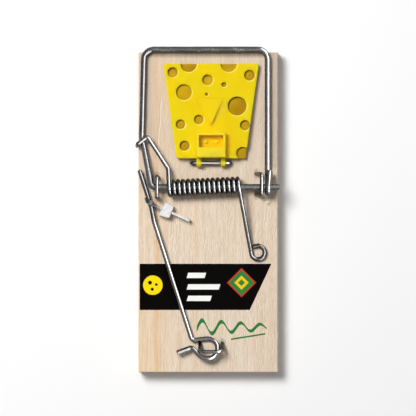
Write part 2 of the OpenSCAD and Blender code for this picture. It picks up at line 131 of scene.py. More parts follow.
# ----------------------------------------------------------------------------------------------------
# Tints
# ----------------------------------------------------------------------------------------------------
def srgb(r, g, b):
    """Linear colour from a screen's numbers, 0 to 255."""
    return tuple((c / 255 / 12.92) if c <= 10 else ((c / 255 + 0.055) / 1.055) ** 2.4 for c in (r, g, b))


# Wire tints: dirt flecks, painted shade for the sides, and the darker stretches
WIRE_FLECK, WIRE_SIDE_SHADE, WIRE_DARKENED = (0.06, 0.05, 0.045), (0.04, 0.039, 0.041), (0.06, 0.06, 0.063)

# Wood tints; among them painted shadows by the torn fibres, the hammer's legs, its crossbar and the nick, and
# painted shade over the far end
BAND_DEEP, BAND_PALE = srgb(216, 192, 164), srgb(234, 220, 202)
FIBRE, FINE_FIBRE, PORE = srgb(203, 174, 143), srgb(246, 234, 216), srgb(168, 134, 104)
TORN_FIBRE_SHADOW, TORN_PALE = srgb(180, 148, 116), srgb(252, 244, 226)
SPLIT_LIP, SPLIT_PALE = srgb(188, 158, 126), srgb(252, 244, 224)
DENT, STAIN = srgb(186, 156, 130), srgb(120, 92, 70)
GREYED_AND_SHADED, LEG_SHADOW, CROSSBAR_SHADOW = srgb(196, 180, 164), srgb(126, 112, 100), srgb(120, 106, 94)
WARM_PALE, WARM_DEEP = srgb(244, 214, 172), srgb(226, 184, 132)
NICK_SHADOW, CHIP = srgb(150, 120, 92), srgb(250, 246, 232)
SAWN_END, LONG_EDGE = srgb(186, 156, 126), srgb(206, 176, 142)
# Warm streaks along the board: place across it, width, tint and amount
STREAKS = [
    (-16.9, 0.9, srgb(226, 172, 112), 0.7), (-13.9, 0.5, srgb(214, 166, 140), 0.35),
    (-4.2, 0.8, srgb(232, 192, 140), 0.45), (14.6, 1.6, srgb(226, 196, 176), 0.35),
    (20.4, 0.6, srgb(230, 188, 160), 0.4),
]

PANEL_BLACK, BAR_WHITE, DISC_YELLOW = srgb(9, 7, 6), srgb(246, 246, 242), srgb(250, 222, 20)
DIAMOND_RED, DIAMOND_GREEN, DIAMOND_YELLOW = srgb(190, 50, 35), srgb(52, 128, 62), srgb(236, 200, 30)
PEN_GREEN = srgb(36, 118, 48)

# Pedal tints; among them painted shade beside the catch, in its pocket, round the wedge and frame and in the
# dimples, and painted light on the wedge, the frame, the knuckles, the dimple rims and over the catch's
# shadow
YELLOW, YELLOW_WARM, YELLOW_SPECK = srgb(236, 205, 2), srgb(233, 210, 12), srgb(226, 188, 0)
CATCH_SHADE_YELLOW, SHADOW_LIFT_YELLOW, POCKET_SHADE_YELLOW = srgb(242, 190, 0), srgb(255, 222, 10), srgb(242, 199, 6)
WEDGE_SHADE_LINE, WEDGE_TOP_LIGHT = srgb(226, 172, 0), srgb(240, 214, 24)
CATCH_SHADE_LINE, CATCH_TOP_LIGHT, KNUCKLE_LIGHT = srgb(226, 168, 0), srgb(254, 236, 66), srgb(255, 219, 60)
OCHRE_DEEP, OCHRE_PALE, PIN_MARK = srgb(168, 127, 2), srgb(200, 162, 14), srgb(214, 178, 60)
DIMPLE_SHADE, DIMPLE_RIM_HIGHLIGHT = srgb(112, 78, 6), srgb(252, 240, 150)

# Nylon tints, and the strap's greying and painted shade near the bar
NYLON_GREY, NYLON_PALE = srgb(218, 218, 222), srgb(236, 236, 235)
WIRE_THROUGH_AND_SHADE, STRAP_SIDE_SHADE = srgb(86, 84, 88), srgb(30, 30, 32)
FLOOR_DEEP, FLOOR_PALE = (0.93, 0.93, 0.93), (0.95, 0.95, 0.95)


# ----------------------------------------------------------------------------------------------------
# Materials
# ----------------------------------------------------------------------------------------------------
class Graph:
    """One material's nodes, in short words, and the colour painted so far. Lengths are in mm."""

    def __init__(self, name):
        self.material = bpy.data.materials.new(name)
        self.material.use_nodes = True
        self.tree = self.material.node_tree
        self.tree.nodes.clear()
        out = self.node("ShaderNodeOutputMaterial")
        self.shader = self.node("ShaderNodeBsdfPrincipled")
        self.tree.links.new(self.shader.outputs[0], out.inputs[0])
        self.colour = None

    def node(self, kind, **settings):
        made = self.tree.nodes.new(kind)
        for key, value in settings.items():
            setattr(made, key, value)
        return made

    def put(self, value, socket):
        """Links a socket to it, or sets its number."""
        if isinstance(value, bpy.types.NodeSocket):
            self.tree.links.new(value, socket)
        else:
            socket.default_value = value

    def math(self, op, a, b=0.0, clamp=False):
        made = self.node("ShaderNodeMath", operation=op, use_clamp=clamp)
        for value, socket in zip((a, b), made.inputs):
            self.put(value, socket)
        return made.outputs[0]

    def fold(self, op, values):
        found = values[0]
        for value in values[1:]:
            found = self.math(op, found, value)
        return found

    def add(self, *values):
        return self.fold("ADD", values)

    def mul(self, *values):
        return self.fold("MULTIPLY", values)

    def least(self, *values):
        return self.fold("MINIMUM", values)

    def most(self, *values):
        return self.fold("MAXIMUM", values)

    def sub(self, a, b):
        return self.math("SUBTRACT", a, b)

    def abs(self, value):
        return self.math("ABSOLUTE", value)

    def square(self, value):
        return self.math("POWER", value, 2)

    def away(self, across, along):
        """Distance from the point where both are 0."""
        return self.math("SQRT", self.add(self.square(across), self.square(along)))

    def bell(self, *steps):
        """1 where every step is 0, falling away smoothly."""
        squares = self.add(*[self.square(step) for step in steps])
        return self.math("EXPONENT", self.mul(squares, -1.0))

    def within(self, value, low, high):
        """Distance to the nearer of the two, above 0 between them."""
        return self.least(self.sub(value, low), self.sub(high, value))

    def inside(self, distance, soft=0.05):
        """1 where distance is above 0 and 0 where it is below, with a soft edge."""
        return self.math("ADD", self.mul(distance, 1 / soft), 0.5, clamp=True)

    def span(self, value, low, high, to_low=0.0, to_high=1.0):
        made = self.node("ShaderNodeMapRange")
        for given, socket in zip((value, low, high, to_low, to_high), made.inputs):
            self.put(given, socket)
        return made.outputs[0]

    def stroke(self, distance, core, edge):
        """1 up to core on both sides of a line, and 0 from edge on."""
        return self.span(self.abs(distance), core, edge, 1, 0)

    def place(self, scale=1.0):
        """Object coordinates in millimetres, then scaled."""
        coords = self.node("ShaderNodeTexCoord")
        mapping = self.node("ShaderNodeMapping")
        self.put(coords.outputs["Object"], mapping.inputs["Vector"])
        mapping.inputs["Scale"].default_value = [scale / MM] * 3
        return mapping.outputs[0]

    def split(self, vector):
        made = self.node("ShaderNodeSeparateXYZ")
        self.put(vector, made.inputs[0])
        return made.outputs

    def join(self, *parts):
        made = self.node("ShaderNodeCombineXYZ")
        for value, socket in zip(parts, made.inputs):
            self.put(value, socket)
        return made.outputs[0]

    def noise(self, vector, scale, detail, rough=0.5):
        made = self.node("ShaderNodeTexNoise")
        self.put(vector, made.inputs["Vector"])
        for key, value in {"Scale": scale, "Detail": detail, "Roughness": rough}.items():
            made.inputs[key].default_value = value
        return made.outputs[0]

    def grain(self, parts, cells, detail=1.0, rough=0.5):
        """Noise with that many cells to a millimetre along each axis."""
        return self.noise(self.join(*[self.mul(*pair) for pair in zip(parts, cells)]), 1.0, detail, rough)

    def mix(self, factor, a, b):
        made = self.node("ShaderNodeMix", data_type="RGBA")
        self.put(factor, made.inputs[0])
        for value, socket in ((a, made.inputs[6]), (b, made.inputs[7])):
            self.put((*value, 1) if isinstance(value, tuple) else value, socket)
        return made.outputs[2]

    def paint(self, mask, tint, amount=1.0):
        """Lays a tint over the colour so far."""
        self.colour = self.mix(self.mul(mask, amount), self.colour, tint)

    def bump(self, height, distance, strength):
        made = self.node("ShaderNodeBump")
        made.inputs["Strength"].default_value = strength
        made.inputs["Distance"].default_value = distance * MM
        self.put(height, made.inputs["Height"])
        self.put(made.outputs[0], self.shader.inputs["Normal"])

    def finish(self, **values):
        """The material, with the painted colour and the shader's other values."""
        for key, value in {"Base_Color": self.colour, **values}.items():
            self.put(value, self.shader.inputs[key.replace("_", " ")])
        return self.material


def steel(name, tone, polish, dirt, darkened=(), unshaded=(0.5, 0.93)):
    """Drawn wire: fine lines along it, duller patches, flecks, darker stretches, and painted shade on its
    sides.

    Each darkened stretch has its ends, in mm along the wire, and its amount. The last argument says how
    squarely the surface has to face up, from 0 to 1, for the painted side shade to start to go and for it to
    be gone.
    """
    g = Graph(name)
    along, around, _ = g.split(g.node("ShaderNodeUVMap", uv_map="wire").outputs[0])
    turn = g.mul(around, 2 * math.pi)
    x, y = g.math("COSINE", turn), g.math("SINE", turn)
    lines = g.noise(g.join(x, y, g.mul(along, 0.12)), 7.0, 3.0, 0.6)
    patches = g.noise(g.join(x, y, g.mul(along, 0.35)), 0.8, 3.0, 0.6)
    flecks = g.noise(g.join(x, y, g.mul(along, 0.9)), 3.1, 2.0)
    dull, fleck = g.span(patches, 0.45, 0.7), g.span(flecks, 0.66, 0.74)
    line_tone, dull_tone = [tuple(c * share for c in tone) for share in (0.82, 0.55)]
    g.colour = g.mix(g.span(lines, 0.3, 0.7), line_tone, tone)
    g.paint(dull, dull_tone, 0.5)
    g.paint(fleck, WIRE_FLECK, dirt)
    # Painted shade: the wire's sides, which face away from up, are painted dark, and its top is left bright
    facing = g.abs(g.split(g.node("ShaderNodeTexCoord").outputs["Normal"])[2])
    side_shade = g.span(g.add(facing, g.mul(g.sub(patches, 0.5), 0.3)), *unshaded, 1.0, 0.0)
    g.paint(side_shade, WIRE_SIDE_SHADE, 0.92)
    # Darker stretches along the wire, patchy
    for low, high, amount in darkened:
        near = g.inside(g.within(along, low, high), 3.0)
        g.paint(g.mul(near, g.span(patches, 0.3, 0.6, 1.0, 0.6)), WIRE_DARKENED, amount)
    g.bump(g.add(g.mul(lines, 0.5), g.mul(patches, 0.5)), 0.01, 0.5)
    rough = g.add(polish, g.mul(dull, 0.16), g.mul(fleck, 0.25))
    return g.finish(Metallic=1.0, Roughness=rough)


def slanted_panel(g, x, y):
    """Panel from the board's left edge to a slanted right side, which crosses Y = 0 at right."""
    left, near, far, slant, right = -21.8, -31.1, -16.4, 0.469, 27.8
    return g.least(g.sub(x, left), g.within(y, near, far), g.sub(g.add(g.mul(y, slant), right), x))


def slanted_bars(g, x, y):
    """Three slanted bars, each with its middle height and its right end."""
    left, half, slant = -6.6, 0.85, 0.3
    bars = []
    for middle, right in ((-20.1, -0.9), (-23.75, 3.6), (-27.4, 0.9)):
        up = g.sub(y, middle)
        bars.append(g.least(g.within(g.sub(x, g.mul(up, slant)), left, right), g.sub(half, g.abs(up))))
    return g.most(*bars)


def spotted_disc(g, x, y):
    """Disc with three spots left out, each with its place from the centre and its radius."""
    radius, centre = 3.1, (-17.6, -23.2)
    across, along = g.sub(x, centre[0]), g.sub(y, centre[1])
    disc = g.sub(radius, g.away(across, along))
    for dx, dy, r in ((-0.9, 0.8, 0.62), (1.1, 0.2, 0.42), (-0.2, -1.3, 0.5)):
        disc = g.least(disc, g.sub(g.away(g.sub(across, dx), g.sub(along, dy)), r))
    return disc


def nested_diamonds(g, x, y):
    """Red diamond, a green one on it, and a yellow ring on that."""
    centre, red, green, ring = (10.6, -22.4), 4.7, 4.1, (1.1, 2.3)
    out = g.add(g.abs(g.sub(x, centre[0])), g.abs(g.sub(y, centre[1])))
    return g.sub(red, out), g.sub(green, out), g.within(out, *ring)


def pen_wave(g, x, y):
    """Wave of a broad pen that flattens out to the right, with a rising line under it."""
    left, right, centre_y, waves = -3.6, 18.6, -36.6, 1.02
    phase = g.mul(g.sub(x, -3.4), waves)
    middle = g.add(centre_y, g.mul(g.math("SINE", phase), g.span(x, -4, 18, 2.3, 0.9)))
    # The pen is broader on the way up than on the way down
    width = g.add(0.34, g.mul(g.math("COSINE", phase), 0.12))
    # Share of the height off the wave that is distance across it, more where the wave is flatter
    share = g.span(x, -4, 18, 0.46, 0.72)
    wave = g.least(g.sub(width, g.mul(g.abs(g.sub(y, middle)), share)), g.within(x, left, right))
    line_left, line_right, line_y, rise, half = 7.2, 18.2, -40.3, 0.16, 0.26
    under = g.add(line_y, g.mul(g.sub(x, 8), rise))
    line = g.least(g.sub(half, g.abs(g.sub(y, under))), g.within(x, line_left, line_right))
    return g.most(wave, line)


def paint_print(g, x, y, z, fine):
    """The print on the board's top, worn by the grain. Returns the black panel's mask."""
    on_top = g.inside(g.sub(z, BOARD_T - 0.12), 0.02)
    worn = g.span(fine, 0.78, 0.9, 1.0, 0.6)
    red, green, ring = nested_diamonds(g, x, y)
    masks = []
    for mark, tint in (
        (slanted_panel(g, x, y), PANEL_BLACK), (slanted_bars(g, x, y), BAR_WHITE),
        (spotted_disc(g, x, y), DISC_YELLOW), (red, DIAMOND_RED), (green, DIAMOND_GREEN),
        (ring, DIAMOND_YELLOW), (pen_wave(g, x, y), PEN_GREEN),
    ):
        masks.append(g.mul(g.inside(mark), on_top, worn))
        g.paint(masks[-1], tint)
    return masks[0]


def paint_grain(g, bent, x, y, z, fibres, fine):
    """Bands, fibres, warm streaks and pores. Returns the height of the pores."""
    bands = g.grain((bent, y, z), (0.3, 0.006, 0.3), 3.0, 0.6)
    g.colour = g.mix(g.span(bands, 0.3, 0.7), BAND_DEEP, BAND_PALE)
    g.paint(g.span(fibres, 0.38, 0.72), FIBRE, 0.6)
    g.paint(g.span(fine, 0.45, 0.7), FINE_FIBRE, 0.6)
    for at, width, tint, amount in STREAKS:
        streak = g.bell(g.mul(g.sub(bent, at), 1 / width))
        g.paint(g.mul(streak, g.span(bands, 0.25, 0.6, 0.4, 1)), tint, amount)
    pore = g.span(g.grain((x, y, z), (5.5, 0.55, 5.5)), 0.66, 0.72)
    g.paint(pore, PORE, 0.3)
    return g.mul(pore, -0.45)


def paint_torn_fibres(g, bent, x, y, z):
    """Torn fibres that wander along the grain, each with a painted shadow beside it. Returns their height."""
    cells, rows, shadow_shift = (0.62, 0.075, 0.6), 9.0, 0.22
    patch = g.span(g.grain((x, y, z), (0.12, 0.05, 1.0)), 0.38, 0.62, 0.3, 1.0)
    # The copy shifted aside is each fibre's painted shadow; the other is the fibre's own pale colour
    for shift, tint, amount in ((shadow_shift, TORN_FIBRE_SHADOW, 0.6), (0.0, TORN_PALE, 0.75)):
        level = g.grain((g.add(bent, shift), y, z), cells, 3.0, 0.55)
        off = g.sub(g.math("FRACT", g.mul(level, rows)), 0.5)
        fibre = g.mul(g.stroke(off, 0.0, 0.15), patch)
        g.paint(fibre, tint, amount)
    return g.mul(fibre, 0.5)


def paint_blemishes(g, x, y, z, fibres):
    """A split along the grain, small dents, and stains round the staples. Returns their height."""
    split_x, split_from, split_to, lean, sway, waves = -16.1, 17, 35.5, 0.074, 0.12, 0.7
    course = g.add(g.mul(g.sub(y, 17.6), lean), g.mul(g.math("SINE", g.mul(y, waves)), sway))
    off = g.sub(g.sub(x, split_x), course)
    stretch = g.inside(g.within(y, split_from, split_to), 2.0)
    split = g.mul(g.stroke(off, 0.06, 0.24), stretch)
    lip = g.mul(g.stroke(g.add(off, 0.34), 0.06, 0.26), stretch)
    g.paint(lip, SPLIT_LIP, 0.5)
    g.paint(split, SPLIT_PALE, 0.9)
    dent = g.span(g.grain((x, y, z), (0.34, 0.16, 0.3)), 0.74, 0.8)
    g.paint(dent, DENT, 0.4)
    holes = [g.away(g.sub(x, middle[0] + side * step[0]), g.mul(g.sub(y, middle[1] + side * step[1]), 0.6))
             for _, _, middle, step, _, _ in STAPLES for side in (-1, 1)]
    stain = g.mul(g.span(g.least(*holes), 1.25, 0.6), g.span(fibres, 0.3, 0.7, 0.4, 0.9))
    g.paint(stain, STAIN, 0.75)
    return g.add(g.mul(split, -0.6), g.mul(dent, -0.8), g.mul(stain, -0.5))


def paint_tone_marks_and_shade(g, x, y, fibres):
    """Greyer, shaded far end, warmer wood, painted shadows of the hammer, a nick with a painted shadow, and
    darker edges.
    """
    # Greyer, darker wood towards the far end: partly the wood's own tone, partly painted shade round the
    # hammer
    g.paint(g.span(y, 6, 26, 0.0, 0.45), GREYED_AND_SHADED)
    # Painted shadows beside the hammer's legs and under its crossbar
    left_leg_shadow = g.least(g.within(x, HAMMER_LEFT, HAMMER_LEFT + 3.4), g.sub(y, KINK_Y))
    right_leg_shadow = g.least(g.within(x, HAMMER_RIGHT, HAMMER_RIGHT + 3.0), g.sub(y, AXLE_Y + 6))
    g.paint(g.most(g.inside(left_leg_shadow, 2.0), g.inside(right_leg_shadow, 1.6)), LEG_SHADOW, 0.3)
    crossbar_shadow = g.least(g.sub(y, BOARD_L / 2 - 1.4), g.within(x, HAMMER_LEFT + 1.6, HAMMER_RIGHT - 1.1))
    g.paint(g.mul(g.inside(crossbar_shadow, 1.0), g.span(fibres, 0.3, 0.7, 0.6, 0.85)), CROSSBAR_SHADOW)
    # Warmer wood towards the near left corner
    corner = g.mul(g.span(x, -21, -6, 0.5, 0.0), g.span(y, -12, -46, 0.25, 1.0))
    g.paint(corner, g.mix(g.span(fibres, 0.35, 0.7), WARM_PALE, WARM_DEEP))
    # A nick beside the right staple, a pale chip with its painted shadow below and right of it: for the
    # shadow and the chip the place, how much narrower each is across and along, how far it is full and where
    # it ends, its tint and its amount
    for (at_x, at_y), (narrow, flat), (full, end), tint, amount in (
        ((19.3, 2.8), (1.6, 1.0), (0.3, 1.1), NICK_SHADOW, 0.6), ((18.9, 3.35), (1.8, 2.6), (0.7, 1.3), CHIP, 1.0),
    ):
        mark = g.away(g.mul(g.sub(x, at_x), narrow), g.mul(g.sub(y, at_y), flat))
        g.paint(g.span(mark, full, end, 1, 0), tint, amount)
    # Sawn ends and long edges
    g.paint(g.span(g.abs(y), BOARD_L / 2 - 0.25, BOARD_L / 2 - 0.02), SAWN_END, 0.35)
    g.paint(g.span(g.abs(x), BOARD_W / 2 - 0.5, BOARD_W / 2), LONG_EDGE, 0.22)


def wood():
    """Pale planed board with fine fibres along it, blemished, worn and printed, with painted shade and
    shadows.
    """
    g = Graph("pale_planed_wood")
    x, y, z = g.split(g.place())
    warp = g.grain((x, y, z), (0.06, 0.02, 0.06), 2.0)
    bent = g.add(x, g.mul(g.sub(warp, 0.5), 5.0))
    fibres = g.grain((bent, y, z), (1.5, 0.07, 1.5), 4.0, 0.7)
    fine = g.grain((x, y, z), (4.0, 0.25, 4.0), 3.0, 0.7)
    height = g.add(g.mul(fibres, 0.5), g.mul(fine, 0.3), paint_grain(g, bent, x, y, z, fibres, fine))
    height = g.add(height, paint_torn_fibres(g, bent, x, y, z), paint_blemishes(g, x, y, z, fibres))
    paint_tone_marks_and_shade(g, x, y, fibres)
    ink = paint_print(g, x, y, z, fine)
    g.bump(height, 0.1, 0.6)
    rough = g.sub(g.span(fine, 0.3, 0.7, 0.55, 0.72), g.mul(ink, 0.1))
    return g.finish(Roughness=rough, IOR=1.45, Specular_IOR_Level=g.span(ink, 0, 1, 0.25, 0.02))


def paint_wedge(g, side, reach):
    """The bait wedge's top is painted paler, a painted light, with a line of painted shade round it."""
    middle, slope, shorten = -0.4, 0.52, 0.9
    flank = g.sub(g.mul(g.sub(reach, WEDGE_TIP), slope), g.abs(g.sub(side, middle)))
    wedge = g.mul(g.least(g.sub(WEDGE_BASE, reach), flank), shorten)
    g.paint(g.inside(g.add(wedge, 0.22), 0.1), WEDGE_SHADE_LINE, 0.35)
    g.paint(g.inside(wedge, 0.1), WEDGE_TOP_LIGHT, 0.5)


def paint_catch(g, side, reach, lift):
    """Painted light on the frame and the knuckles, a line of painted shade round the frame, and painted shade
    in the pocket.
    """
    spill, out, far = 0.05, g.abs(side), CATCH_AT + CATCH_L
    pocket = g.least(g.sub(CATCH_W / 2 - CATCH_RIM + spill, out),
                     g.within(reach, CATCH_AT + CATCH_LIP_L - spill, far - CATCH_RIM + spill))
    pocket = g.mul(g.inside(pocket, 0.1), g.inside(g.sub(PEDAL_T / 2 + 0.35, lift), 0.2))
    block = g.least(g.sub(CATCH_W / 2 - spill, out), g.within(reach, CATCH_AT - 0.9, far + 0.1))
    # Painted shade round the frame, and painted light on its top
    g.paint(g.inside(g.add(block, 0.25), 0.1), CATCH_SHADE_LINE, 0.35)
    g.paint(g.mul(g.inside(block, 0.1), g.span(pocket, 0.0, 0.1, 0.5, 0.0)), CATCH_TOP_LIGHT, 0.9)
    # Painted light on the knuckles
    g.paint(g.span(reach, -0.3, 0.3, 0.9, 0.0), KNUCKLE_LIGHT)
    # Painted light over the catch's cast shadow on the plate
    shadow_lift = g.least(g.within(side, CATCH_W / 2 - 0.3, CATCH_W / 2 + 0.9), g.within(reach, 0, far - 0.7))
    g.paint(g.inside(shadow_lift, 0.6), SHADOW_LIFT_YELLOW, 0.8)
    # Painted shade: deeper yellow in the pocket
    g.paint(pocket, POCKET_SHADE_YELLOW, 0.85)


def paint_dimples(g, x, y, z, side, reach, lift):
    """Ochre floors with the core pin's mark, painted shade in them and a painted highlight on the rim.
    Returns the floors' mask.
    """
    depths, rim_highlights, rim_shadows, pins = [], [], [], []
    for dx, dy, r in DIMPLES:
        across, along = g.sub(side, dx * PEDAL_W / 2), g.sub(reach, PEDAL_GAP + dy * PEDAL_L)
        depths.append(g.sub(r, g.away(across, along)))
        # Painted highlight on the rim on the side away from the key light, painted shadow under the rim
        # towards it
        lee = g.mul(g.sub(across, along), 0.71 / r)
        rim_highlights.append(g.mul(g.stroke(g.add(depths[-1], 0.12), 0.05, 0.26), g.span(lee, 0.1, 0.8)))
        rim_shadows.append(g.mul(g.stroke(g.sub(depths[-1], 0.15), 0.1, 0.35), g.span(lee, -0.1, -0.8)))
        if r < 2:
            pins.append(g.stroke(g.sub(depths[-1], 0.6 * r), 0.06, 0.2))
    depth = g.most(*depths)
    low = g.sub(PEDAL_T / 2 - DIMPLE_DEPTH * 0.35, lift)
    floors = g.mul(g.inside(g.add(depth, 0.02), 0.08), g.inside(low, 0.12))
    ochre = g.mix(g.span(g.noise(g.join(x, y, z), 0.16, 1.0), 0.35, 0.65), OCHRE_DEEP, OCHRE_PALE)
    g.paint(floors, g.mix(g.mul(g.most(*pins), 0.4), ochre, PIN_MARK))
    # Painted shade: darker next to each wall, and under the rim towards the key light
    recess_shade = g.most(g.span(depth, 0.05, 0.25, 0.5, 0.0), g.mul(g.most(*rim_shadows), 0.8))
    g.paint(g.mul(floors, recess_shade), DIMPLE_SHADE)
    g.paint(g.most(*rim_highlights), DIMPLE_RIM_HIGHLIGHT, 0.55)
    return floors


def pedal_plastic():
    """Glossy yellow moulding: plate, wedge, catch and dimples."""
    g = Graph("yellow_moulded_plastic")
    x, y, z = g.split(g.place())
    fine = g.noise(g.join(x, y, z), 1.8, 3.0, 0.6)
    broad = g.noise(g.join(x, y, z), 0.09, 2.0)
    # From the pedal's middle, out from the hinge, and up from the plate's tilted middle plane
    cos, sin = math.cos(PEDAL_TILT), math.sin(PEDAL_TILT)
    side = g.sub(x, PEDAL_X)
    reach = g.sub(g.mul(g.sub(y, HINGE_Y), cos), g.mul(g.sub(z, HINGE_Z), sin))
    lift = g.add(g.mul(g.sub(z, HINGE_Z), cos), g.mul(g.sub(y, HINGE_Y), sin))
    g.colour = g.mix(g.span(broad, 0.35, 0.65), YELLOW, YELLOW_WARM)
    g.paint(g.span(fine, 0.5, 0.8), YELLOW_SPECK, 0.12)
    # Painted shade: deeper yellow to the right of the catch
    g.paint(g.bell(g.mul(g.sub(side, 6.2), 0.3), g.mul(g.sub(reach, 6.5), 0.16)), CATCH_SHADE_YELLOW, 0.35)
    paint_wedge(g, side, reach)
    paint_catch(g, side, reach, lift)
    floors = paint_dimples(g, x, y, z, side, reach, lift)
    g.bump(g.add(g.mul(fine, 0.6), g.mul(broad, 0.8)), 0.03, 0.35)
    rough = g.add(g.span(fine, 0.3, 0.7, 0.3, 0.42), g.mul(floors, 0.25))
    return g.finish(Roughness=rough, IOR=1.46, Specular_IOR_Level=0.12, Subsurface_Scale=1.0,
                    Subsurface_Radius=(0.0024, 0.0023, 0.0005),
                    Subsurface_Weight=g.span(floors, 0, 1, 0.8, 0.3))


def nylon():
    """Milky nylon. The strap is painted greyer near the bar, partly for the wire showing through and partly
    as painted shade, and dark on the bar's far side, a painted shade.
    """
    g = Graph("natural_nylon")
    place = g.place()
    x, y, _ = g.split(place)
    cloud, fine = g.noise(place, 0.5, 2.0), g.noise(place, 4.0, 2.0)
    g.colour = g.mix(g.span(cloud, 0.35, 0.65), NYLON_GREY, NYLON_PALE)
    # Out from the bar, towards the tie's head
    centre, cos, sin = bar_point(TIE_AT, BAR_JOG), math.cos(TIE_ANGLE), math.sin(TIE_ANGLE)
    out = g.add(g.mul(g.sub(x, centre.x), cos), g.mul(g.sub(y, centre.y), sin))
    # Greyer near the bar, for the wire showing through and painted shade; dark past the bar's far side,
    # painted shade
    g.paint(g.span(out, 1.4, 3.4, 0.9, 0.0), WIRE_THROUGH_AND_SHADE)
    g.paint(g.span(out, -1.3, -0.3, 0.85, 0.0), STRAP_SIDE_SHADE)
    g.bump(fine, 0.015, 0.4)
    return g.finish(Roughness=g.span(fine, 0.3, 0.7, 0.3, 0.42), Subsurface_Weight=0.35,
                    Subsurface_Radius=(0.0012, 0.0011, 0.001), Subsurface_Scale=1.0)


def pale_floor():
    g = Graph("pale_floor")
    g.colour = g.mix(g.noise(g.place(0.02), 1.0, 2.0), FLOOR_DEEP, FLOOR_PALE)
    return g.finish(Roughness=0.8)


# ----------------------------------------------------------------------------------------------------
# Shapes
# ----------------------------------------------------------------------------------------------------
def sharpen(made, degrees):
    """Shades smooth, with edges sharper than that angle kept crisp."""
    bm = bmesh.new()
    bm.from_mesh(made.data)
    for edge in bm.edges:
        if len(edge.link_faces) == 2:
            edge.smooth = edge.calc_face_angle(0) < math.radians(degrees)
    bm.to_mesh(made.data)
    bm.free()


def mesh_object(name, verts, faces, material):
    data = bpy.data.meshes.new(name)
    data.from_pydata([Vector(v) * MM for v in verts], [], faces)
    data.validate()
    for polygon in data.polygons:
        polygon.use_smooth = True
    made = bpy.data.objects.new(name, data)
    bpy.context.scene.collection.objects.link(made)
    made.data.materials.append(material)
    return made


def rounded(points, radii, step=6.0):
    """Centre line of a wire bent through points, with a bend radius at each, in steps of degrees."""
    points = [Vector(p) for p in points]
    line = [points[0]]
    for i in range(1, len(points) - 1):
        u = (points[i] - points[i - 1]).normalized()
        w = (points[i + 1] - points[i]).normalized()
        turn = math.acos(max(-1, min(1, u.dot(w))))
        inward = (w - u * math.cos(turn)) / math.sin(turn)
        r = radii[i]
        centre = points[i] - u * r * math.tan(turn / 2) + inward * r
        steps = max(2, math.ceil(math.degrees(turn) / step))
        for k in range(steps + 1):
            a = turn * k / steps
            line.append(centre - inward * r * math.cos(a) + u * r * math.sin(a))
    line.append(points[-1])
    kept = [line[0]]
    for p in line[1:]:
        if (p - kept[-1]).length > 1e-4:
            kept.append(p)
    return kept


def filled(line, longest=1.5):
    """The same line with no stretch longer than that."""
    made = [line[0]]
    for a, b in zip(line, line[1:]):
        n = max(1, math.ceil((b - a).length / longest))
        made += [a + (b - a) * k / n for k in range(1, n + 1)]
    return made


def length(line):
    return sum((b - a).length for a, b in zip(line, line[1:]))


def tube_faces(rings, m):
    """Walls between rings of m points, and the two ends."""
    walls = [(i * m + k, i * m + (k + 1) % m, (i + 1) * m + (k + 1) % m, (i + 1) * m + k)
             for i in range(rings - 1) for k in range(m)]
    return walls + [tuple(range(m - 1, -1, -1)), tuple((rings - 1) * m + k for k in range(m))]


def wire(name, line, d, material, sides=20):
    """Round wire along a line, with chamfered cut ends, and a map of length and turn for its material."""
    n, full, chamfer = len(line), d / 2, 0.25 * d / 2
    ends = {0: [(0, full - chamfer), (chamfer, full)], n - 1: [(-chamfer, full), (0, full - chamfer)]}
    tangents = [(line[min(i + 1, n - 1)] - line[max(i - 1, 0)]).normalized() for i in range(n)]
    normal = tangents[0].cross(Vector((0.3, 0.2, 1))).normalized()
    verts, lengths, at = [], [], 0.0
    for i, (p, t) in enumerate(zip(line, tangents)):
        normal = (normal - t * normal.dot(t)).normalized()
        across = t.cross(normal)
        at += (p - line[i - 1]).length if i else 0.0
        for shift, radius in ends.get(i, [(0, full)]):
            lengths.append(at + shift)
            for k in range(sides):
                a = 2 * math.pi * k / sides
                verts.append(p + t * shift + (normal * math.cos(a) + across * math.sin(a)) * radius)
    made = mesh_object(name, verts, tube_faces(len(lengths), sides), material)
    walls = (len(lengths) - 1) * sides
    layer = made.data.uv_layers.new(name="wire")
    for polygon in made.data.polygons:
        for corner, loop in enumerate(polygon.loop_indices):
            i, k = divmod(made.data.loops[loop].vertex_index, sides)
            # The last wall of each ring closes the turn at 1, where its first vertex has 0
            closes = polygon.index < walls and k == 0 and corner in (1, 2)
            layer.data[loop].uv = (lengths[i], 1.0 if closes else k / sides)
    sharpen(made, 35)
    return made


def staple_line(foot_a, foot_b, rise, bend):
    drop = rise * (STAPLE_DEPTH / rise.z)
    points = [foot_a - drop, foot_a + rise, foot_b + rise, foot_b - drop]
    return rounded(points, [0, bend * STAPLE_D, bend * STAPLE_D, 0])


